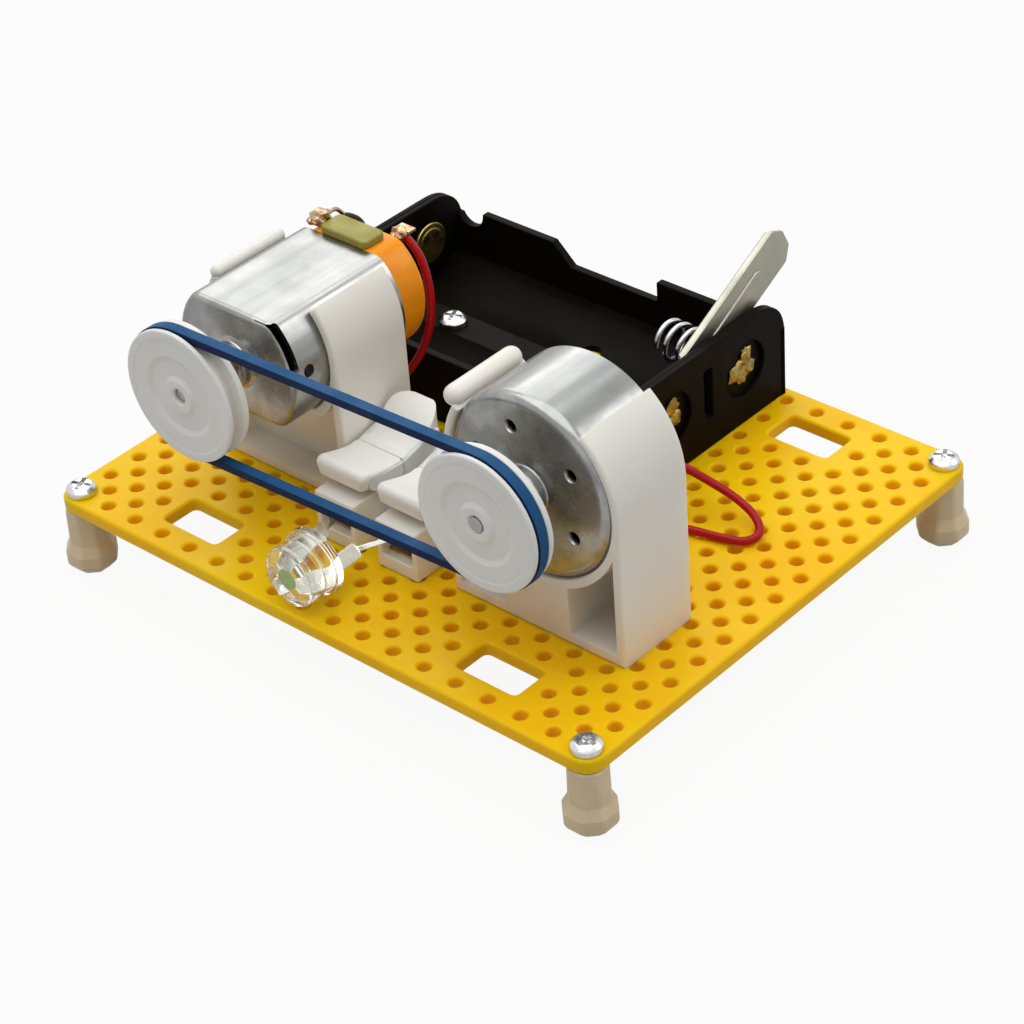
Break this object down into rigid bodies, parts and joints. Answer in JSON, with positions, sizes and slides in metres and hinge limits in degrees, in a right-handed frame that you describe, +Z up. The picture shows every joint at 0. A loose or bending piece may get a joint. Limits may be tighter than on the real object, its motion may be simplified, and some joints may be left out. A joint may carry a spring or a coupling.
{
  "type": "demonstration electric motor",
  "caption": "Battery-powered flat-can motor driving a round generator by a rubber belt, with knife switch, lever terminals and LED on a perforated plate.",
  "frame": {"origin": "centre of the object's footprint box, on the surface the four feet stand on", "axes": "+X along the plate's long side, from the drive motor to the generator; +Y from the LED to the battery box; +Z up"},
  "size_m": [0.0916, 0.0783, 0.0442],
  "materials": {
    "yellow_plastic": "glossy moulded",
    "clear_nylon": "milky, slightly translucent",
    "screw_steel": "bright plated",
    "ivory_plastic": "moulded, satin",
    "white_plastic": "moulded, slightly translucent",
    "can_steel": "drawn and plated",
    "orange_plastic": "moulded",
    "bronze": "sintered",
    "ferrite": "dull sintered",
    "lamination": "stacked sheet",
    "copper": "enamelled copper",
    "shaft_steel": "ground",
    "tinned_brass": "tinned, with solder",
    "capacitor_resin": "dipped resin",
    "blue_rubber": "smooth moulded",
    "black_plastic": "moulded, satin",
    "contact_brass": "plated",
    "spring_steel": "plated wire",
    "blade_steel": "rolled strip",
    "clear_lens": "clear epoxy",
    "phosphor": "yellow-green resin in a cup",
    "tinned_steel": "tinned",
    "red_pvc": "PVC sleeve",
    "black_pvc": "PVC sleeve"
  },
  "bodies": {
    "frame": {"base_plate": "yellow_plastic", "leg_front_left": "clear_nylon", "leg_front_right": "clear_nylon", "leg_back_left": "clear_nylon", "leg_back_right": "clear_nylon", "leg_screws": "screw_steel", "bracket_screws": "screw_steel", "box_screws": "screw_steel", "terminal_block_screw": "screw_steel", "drive_motor_bracket": "ivory_plastic", "generator_bracket": "ivory_plastic", "drive_motor_can": "can_steel", "generator_can": "can_steel", "generator_end_plate": "can_steel", "drive_motor_end_cap": "orange_plastic", "drive_motor_bushes": "bronze", "generator_bushes": "bronze", "drive_motor_magnets": "ferrite", "generator_magnets": "ferrite", "drive_motor_brushes": "bronze", "generator_brushes": "bronze", "drive_motor_terminals": "tinned_brass", "generator_terminals": "tinned_brass", "suppression_capacitor": "capacitor_resin", "drive_belt": "blue_rubber", "battery_box": "black_plastic", "contact_front_right": "contact_brass", "contact_back_right": "contact_brass", "contact_back_left": "contact_brass", "contact_front_left": "contact_brass", "battery_spring_back": "spring_steel", "battery_spring_front": "spring_steel", "terminal_block": "ivory_plastic", "terminal_clamps": "tinned_brass", "led_lens": "clear_lens", "led_phosphor": "phosphor", "led_leads": "tinned_steel", "motor_lead_red": "red_pvc", "motor_lead_black": "black_pvc", "generator_lead_red": "red_pvc", "generator_lead_black": "black_pvc"},
    "drive_rotor": {"drive_shaft": "shaft_steel", "drive_armature": "lamination", "drive_windings": "copper", "drive_commutator": "copper", "drive_pulley": "white_plastic"},
    "generator_rotor": {"generator_shaft": "shaft_steel", "generator_armature": "lamination", "generator_windings": "copper", "generator_commutator": "copper", "generator_pulley": "white_plastic"},
    "switch_blade": {"switch_blade": "blade_steel"},
    "lever_front_left": {"terminal_lever_front_left": "white_plastic"},
    "lever_front_right": {"terminal_lever_front_right": "white_plastic"},
    "lever_back_left": {"terminal_lever_back_left": "white_plastic"},
    "lever_back_right": {"terminal_lever_back_right": "white_plastic"}
  },
  "joints": [
    {"name": "drive_spin", "type": "hinge", "parent": "frame", "child": "drive_rotor", "pos_m": [-0.0236, -0.0237, 0.032], "axis": [0, 1, 0], "continuous": true},
    {"name": "generator_spin", "type": "hinge", "parent": "frame", "child": "generator_rotor", "pos_m": [0.0236, -0.0228, 0.032], "axis": [0, 1, 0], "continuous": true},
    {"name": "switch_blade_swing", "type": "hinge", "parent": "frame", "child": "switch_blade", "pos_m": [0.0144, 0.01165, 0.0196], "axis": [1, 0, 0], "range_deg": [-9.5, 30]},
    {"name": "lever_front_left_press", "type": "hinge", "parent": "frame", "child": "lever_front_left", "pos_m": [-0.00765, -0.018, 0.017], "axis": [1, 0, 0], "range_deg": [0, 12], "stiffness_Nm_per_rad": 0.02, "springref_deg": -5.73},
    {"name": "lever_front_right_press", "type": "hinge", "parent": "frame", "child": "lever_front_right", "pos_m": [0.00265, -0.018, 0.017], "axis": [1, 0, 0], "range_deg": [0, 12], "stiffness_Nm_per_rad": 0.02, "springref_deg": -5.73},
    {"name": "lever_back_left_press", "type": "hinge", "parent": "frame", "child": "lever_back_left", "pos_m": [-0.00765, -0.014, 0.017], "axis": [-1, 0, 0], "range_deg": [0, 12], "stiffness_Nm_per_rad": 0.02, "springref_deg": -5.73},
    {"name": "lever_back_right_press", "type": "hinge", "parent": "frame", "child": "lever_back_right", "pos_m": [0.00265, -0.014, 0.017], "axis": [-1, 0, 0], "range_deg": [0, 12], "stiffness_Nm_per_rad": 0.02, "springref_deg": -5.73}
  ],
  "couplings": [
    {"joint": "generator_spin", "follows": "drive_spin", "ratio": 1}
  ]
}
